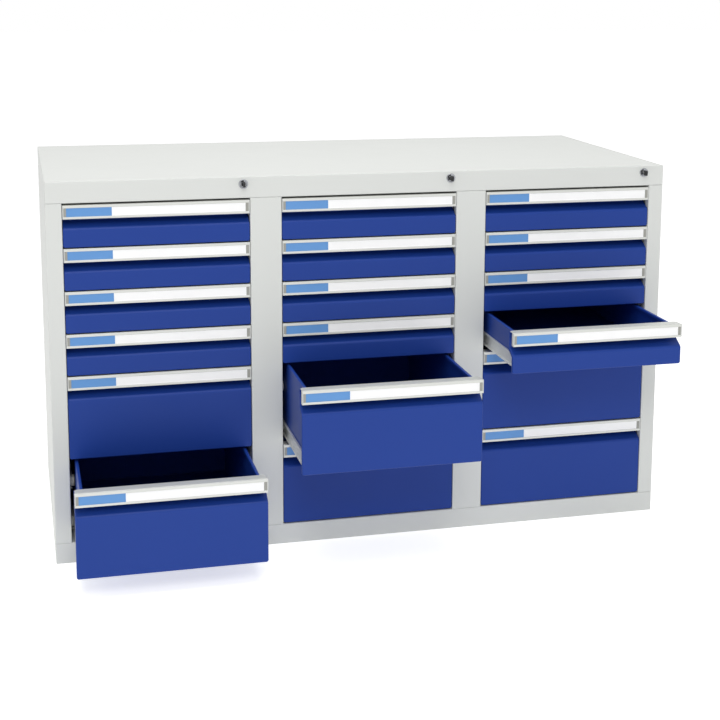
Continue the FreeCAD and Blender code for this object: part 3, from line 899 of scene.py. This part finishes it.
def buildDrawer(bay, number):
    tag = "_" + bay + "_" + str(number)
    body = "drawer" + tag
    trayNode = body + "_tray"
    handleNode = body + "_handle_and_runners"
    trayLow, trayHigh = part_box(trayNode)
    handleLow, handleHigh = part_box(handleNode)
    railLow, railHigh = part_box("cabinet_rails_" + bay)
    rollerLow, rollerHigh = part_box("rail_rollers_" + bay)
    place = {"left": trayLow.x, "right": trayHigh.x, "face": trayLow.y, "back": trayHigh.y,
             "low": trayLow.z, "high": handleHigh.z, "handleFace": handleLow.y,
             "opening": (railHigh.x - railLow.x) / 2, "rollerRadius": (rollerHigh.y - rollerLow.y) / 2}

    def add(name, meshes, material, node, edge=0, even=False):
        mesh = joined(meshes, name) if len(meshes) > 1 else meshes[0]
        addPiece(name + tag, mesh, body, material, [node], edge, even=even)

    add("front", [frontMesh(place), wallMesh(place)], drawerPaint, trayNode, even=True)
    add("tray", trayMesh(place), drawerPaint, trayNode, even=True)
    add("handle", [handleMesh(place)], anodised, handleNode, handleLook["edge"], True)
    leftCap, leftTongue = capMeshes(place, -1)
    rightCap, rightTongue = capMeshes(place, 1)
    add("endCaps", leftCap + rightCap, capPlastic, handleNode, capLook["edge"], True)
    add("capTongues", leftTongue + rightTongue, tonguePlastic, handleNode,
        capLook["edge"] / 2, True)
    cardStart = place["left"] + capLook["cheek"] + capLook["tongues"][-1] + cardLook["air"]
    cardMiddle = cardStart + cardLook["nameLength"]
    cardEnd = place["right"] - capLook["cheek"] - capLook["tongues"][1] - cardLook["air"]
    add("nameCard", [cardMesh(place, cardStart, cardMiddle)], blueCard, handleNode,
        cardLook["edge"])
    add("cardStrip", [cardMesh(place, cardMiddle, cardEnd)], whiteCard, handleNode,
        cardLook["edge"])
    leftRail, leftRoller = runnerMeshes(place, -1)
    rightRail, rightRoller = runnerMeshes(place, 1)
    add("drawerRails", leftRail + rightRail, zincSteel, handleNode)
    add("backRollers", [leftRoller, rightRoller], rollerNylon, handleNode)
    add("lockCatch", [catchMesh(place)], zincSteel, handleNode)


for bay in bays:
    for number in range(1, drawersInBay + 1):
        buildDrawer(bay, number)
    print("drawers of the", bay, "bay made")


# Locks with their keys

lockLook = {"bezelRadius": 0.011, "bezelHeight": 0.0025, "bezelRound": 0.0010, "wellRadius": 0.0078,
            "wellDepth": 0.0014, "boreRadius": 0.0057, "barrelRadius": 0.0079, "threadPitch": 0.001,
            "threadDepth": 0.0003, "nutRadius": 0.011547, "nutStart": 0.0012, "nutThickness": 0.004,
            "plugRadius": 0.0055, "plugDrop": 0.0006, "plugEdge": 0.0004, "nutSides": 6,
            "bezelSteps": 48, "roundSteps": 5, "holeSteps": 32, "plugSteps": 40}
camLook = {"start": 0.001, "thickness": 0.003, "reach": 0.0115, "heel": 0.007, "halfWidth": 0.005,
           "corner": 0.0025, "turn": -45.0, "throw": 0.008, "pinRadius": 0.0025, "pinLength": 0.007,
           "pinSteps": 20}
keyLook = {"thickness": 0.002, "width": 0.0065, "depth": 0.016, "neck": 0.004, "socket": 0.005,
           "bowSize": 0.0125, "bowThickness": 0.0045, "bowCorner": 0.003, "holeRadius": 0.0018,
           "bowEdge": 0.0009, "bowEdgeSteps": 3, "bladeEdge": 0.0002, "cornerSteps": 6, "holeSteps": 20,
           "notches": (0.0009, 0.0016, 0.0005, 0.0012)}


def boredPlate(name, outline, hole, axis, start, end):
    # plate of one outline with a hole of another
    bm = bmesh.new()
    sides = []
    for distance in (start, end):
        edges = []
        for line in (outline, hole):
            verts = [bm.verts.new(along(axis, distance, *spot)) for spot in line]
            edges += [bm.edges.new((a, b)) for a, b in zip(verts, verts[1:] + verts[:1])]
            sides.append(verts)
        bmesh.ops.triangle_fill(bm, edges=edges, use_beauty=True)
    sleeve(bm, sides[0], sides[2])
    sleeve(bm, sides[1], sides[3])
    return meshFrom(bm, name)


def caseMeshes(spot, height, front, back):
    # rolled bezel with a sunk well, threaded barrel and hexagon nut
    look = lockLook
    panel = front + look["bezelHeight"]
    radius = look["bezelRadius"]
    ease = look["bezelRound"]
    rim = arcPoints(front + ease, radius - ease, ease, 90, 180, look["roundSteps"])
    well = front + look["wellDepth"]
    profile = [(panel, look["barrelRadius"]), (panel, radius)] + rim
    profile += [(front, look["wellRadius"] + ease / 2), (front + ease / 4, look["wellRadius"]),
                (well, look["wellRadius"] - ease / 2), (well, look["boreRadius"]),
                (back, look["boreRadius"])]
    threads = []
    place = back
    while place > panel + look["nutStart"] + look["nutThickness"]:
        threads += [(place, look["barrelRadius"]),
                    (place - look["threadPitch"] / 2, look["barrelRadius"] - look["threadDepth"])]
        place -= look["threadPitch"]
    profile += threads + [(panel, look["barrelRadius"])]
    nutFront = panel + look["nutStart"]
    nutOutline = arcPoints(spot, height, look["nutRadius"], 0, 360, look["nutSides"])[:-1]
    nutHole = arcPoints(spot, height, look["barrelRadius"], 0, 360, look["holeSteps"])[:-1]
    nut = boredPlate("nut", nutOutline, nutHole, "y", nutFront, nutFront + look["nutThickness"])
    return [turned("bezel", profile, "y", spot, height, look["bezelSteps"]), nut]


def plugMeshes(spot, height, front, back):
    look = camLook
    plugFront = front + lockLook["plugDrop"]
    edge = lockLook["plugEdge"]
    camFront = back + look["start"]
    camBack = camFront + look["thickness"]
    radius = lockLook["plugRadius"]
    plug = turned("plug", [(plugFront, 0), (plugFront, radius - edge), (plugFront + edge, radius),
                           (camFront, radius), (camFront, 0)],
                  "y", spot, height, lockLook["plugSteps"])
    tip, heel, half, cut = look["reach"], -look["heel"], look["halfWidth"], look["corner"]
    corners = [(tip, half - cut), (tip - cut, half), (heel + cut, half), (heel, half - cut),
               (heel, cut - half), (heel + cut, -half), (tip - cut, -half), (tip, cut - half)]
    turn = math.radians(look["turn"])
    across, up = math.cos(turn), math.sin(turn)
    outline = [(spot + a * across - b * up, height + a * up + b * across) for a, b in corners]
    cam = extruded("cam", outline, "y", camFront, camBack)
    pinEnd = camBack + look["pinLength"]
    pin = turned("pin", [(camBack, look["pinRadius"]), (pinEnd - edge, look["pinRadius"]),
                         (pinEnd, look["pinRadius"] - edge), (pinEnd, 0)],
                 "y", spot + look["throw"] * across, height + look["throw"] * up, look["pinSteps"])
    return [plug, cam, pin]


def keyMeshes(spot, height, front):
    # flat blade with its notches, and the bow moulded over its neck
    look = keyLook
    neck = front - look["neck"]
    end = front + lockLook["bezelHeight"] + look["depth"]
    half = look["width"] / 2
    step = look["depth"] / (2 * len(look["notches"]))
    top = height + half
    place = end - half
    outline = [(neck - look["socket"], height - half), (place, height - half), (end, height), (place, top)]
    for depth in look["notches"]:
        outline += [(place - step / 2, top - depth), (place - step, top - depth),
                    (place - step * 3 / 2, top)]
        place -= step * 3 / 2
    outline.append((neck - look["socket"], top))
    blade = extruded("blade", outline, "x", spot - look["thickness"] / 2, spot + look["thickness"] / 2)
    size = look["bowSize"]
    corner = look["bowCorner"]
    ends = (neck - size + corner, neck - corner)
    bow = []
    for y, side, turn in ((ends[1], 1, 0), (ends[0], 1, 90), (ends[0], -1, 180), (ends[1], -1, 270)):
        bow += arcPoints(y, height + side * (size / 2 - corner), corner, turn, turn + 90,
                         look["cornerSteps"])
    radius = look["holeRadius"]
    hole = arcPoints(neck - size + corner + radius, height, radius, 0, 360, look["holeSteps"])[:-1]
    thick = look["bowThickness"] / 2
    return blade, boredPlate("bow", bow, hole, "x", spot - thick, spot + thick)


def buildLocks():
    low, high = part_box("lock_cases")
    height = (low.z + high.z) / 2
    spots = {"left": low.x + lockLook["nutRadius"], "middle": (low.x + high.x) / 2,
             "right": high.x - lockLook["nutRadius"]}
    cases = []
    for bay in bays:
        spot = spots[bay]
        body = "lock_" + bay
        cases += caseMeshes(spot, height, low.y, high.y)
        plug = joined(plugMeshes(spot, height, low.y, high.y), "lockPlug")
        addPiece("lockPlug_" + bay, plug, body, darkPaintedLockChrome, ["lock_plug_" + bay], even=True)
        blade, bow = keyMeshes(spot, height, low.y)
        addPiece("keyBlade_" + bay, blade, body, bladeMetal, ["key_" + bay],
                 keyLook["bladeEdge"], even=True)
        addPiece("keyBow_" + bay, bow, body, bowPlastic, ["key_" + bay],
                 keyLook["bowEdge"], keyLook["bowEdgeSteps"], even=True)
    addPiece("lockCases", joined(cases, "lockCases"), "carcass", darkPaintedLockChrome,
             ["lock_cases"], even=True)


buildLocks()
print("locks made")


# Floor, light and camera

stageLook = {"reach": 30.0, "floorColour": (0.91, 0.91, 0.91, 1), "floorDrift": (0.93, 0.93, 0.93, 1),
             "driftScale": 3.0, "roughness": 0.9, "glow": 0.62, "allRaysGlow": 0.30, "ambient": 0.52}
lampLook = {
    "softKey": {"power": 98.0, "size": 2.6, "place": (-1.0, -5.4, 4.8), "aim": (0, -0.3, 0.45)},
    "overheadPanel": {"power": 56.0, "size": 2.4, "place": (-0.3, -0.8, 4.1), "aim": (0, -0.2, 0.6)},
    "frontFill": {"power": 4.0, "size": 2.4, "place": (-0.8, -6.0, 1.6), "aim": (0, 0, 0.4)},
    "sideFill": {"power": 6.0, "size": 3.0, "place": (-5.5, -0.8, 0.8), "aim": (-0.7, 0, 0.3)},
}
cameraLook = {"lens": 73.55, "sensor": 36.0, "place": (-0.815, -3.694, 1.366), "yaw": 14.99,
              "pitch": -9.65, "roll": 0.47, "shiftX": -0.060, "shiftY": -0.190}


def seenDirectly(tree):
    # one for rays from the camera and for those that metal and glass send out
    rays = tree.nodes.new("ShaderNodeLightPath")
    seen = mathNode(tree, "MAXIMUM", rays.outputs["Is Camera Ray"], rays.outputs["Is Glossy Ray"])
    return mathNode(tree, "MAXIMUM", seen, rays.outputs["Is Transmission Ray"])


def buildFloor():
    reach = stageLook["reach"]
    bm = bmesh.new()
    corners = [bm.verts.new((x, y, 0)) for x, y in ((-reach, -reach), (reach, -reach), (reach, reach),
                                                    (-reach, reach))]
    bm.faces.new(corners)
    mesh = plainMesh(bm, "studioFloor")
    floor = newObject("studioFloor", mesh)
    material = bpy.data.materials.new("paleFloor")
    material.use_nodes = True
    tree = material.node_tree
    shader = tree.nodes["Principled BSDF"]
    shader.inputs["Roughness"].default_value = stageLook["roughness"]
    shader.inputs["Specular IOR Level"].default_value = 0.0
    tone = noiseAt(tree, stageLook["driftScale"])
    colour = mixColour(tree, tone, stageLook["floorColour"], stageLook["floorDrift"])
    tree.links.new(colour, shader.inputs["Base Color"])
    # the floor glows for all rays, so it lights the low parts as a lamp would, standing in for the bounce
    # of a white studio floor
    glow = mathNode(tree, "MULTIPLY", seenDirectly(tree), stageLook["glow"] - stageLook["allRaysGlow"])
    glow = mathNode(tree, "ADD", glow, stageLook["allRaysGlow"])
    shader.inputs["Emission Color"].default_value = white
    tree.links.new(glow, shader.inputs["Emission Strength"])
    mesh.materials.append(material)


def buildWorld():
    world = bpy.data.worlds.new("studioLight")
    bpy.context.scene.world = world
    world.use_nodes = True
    tree = world.node_tree
    background = tree.nodes["Background"]
    background.inputs["Color"].default_value = white
    extra = mathNode(tree, "MULTIPLY", seenDirectly(tree), 1.0 - stageLook["ambient"])
    tree.links.new(mathNode(tree, "ADD", extra, stageLook["ambient"]), background.inputs["Strength"])


def buildLamps():
    for name, look in lampLook.items():
        light = bpy.data.lights.new(name, "AREA")
        light.shape = "SQUARE"
        light.size = look["size"]
        light.energy = look["power"]
        lamp = newObject(name, light)
        place = Vector(look["place"])
        lamp.location = place
        lamp.rotation_euler = (Vector(look["aim"]) - place).to_track_quat("-Z", "Y").to_euler()


def buildCamera():
    look = cameraLook
    yaw = math.radians(look["yaw"])
    pitch = math.radians(look["pitch"])
    roll = math.radians(look["roll"])
    forward = Vector((math.sin(yaw) * math.cos(pitch), math.cos(yaw) * math.cos(pitch), math.sin(pitch)))
    level = Vector((math.cos(yaw), -math.sin(yaw), 0))
    upright = level.cross(forward)
    right = level * math.cos(roll) + upright * math.sin(roll)
    up = upright * math.cos(roll) - level * math.sin(roll)
    camera = newObject("photoCamera", bpy.data.cameras.new("photoCamera"))
    turn = Matrix((right, up, -forward)).transposed().to_4x4()
    camera.matrix_world = Matrix.Translation(look["place"]) @ turn
    camera.data.lens = look["lens"]
    camera.data.sensor_width = look["sensor"]
    camera.data.shift_x = look["shiftX"]
    camera.data.shift_y = look["shiftY"]
    bpy.context.scene.camera = camera


buildFloor()
buildWorld()
buildLamps()
buildCamera()
bpy.context.scene.view_settings.view_transform = "Standard"
print("floor, light and camera made")
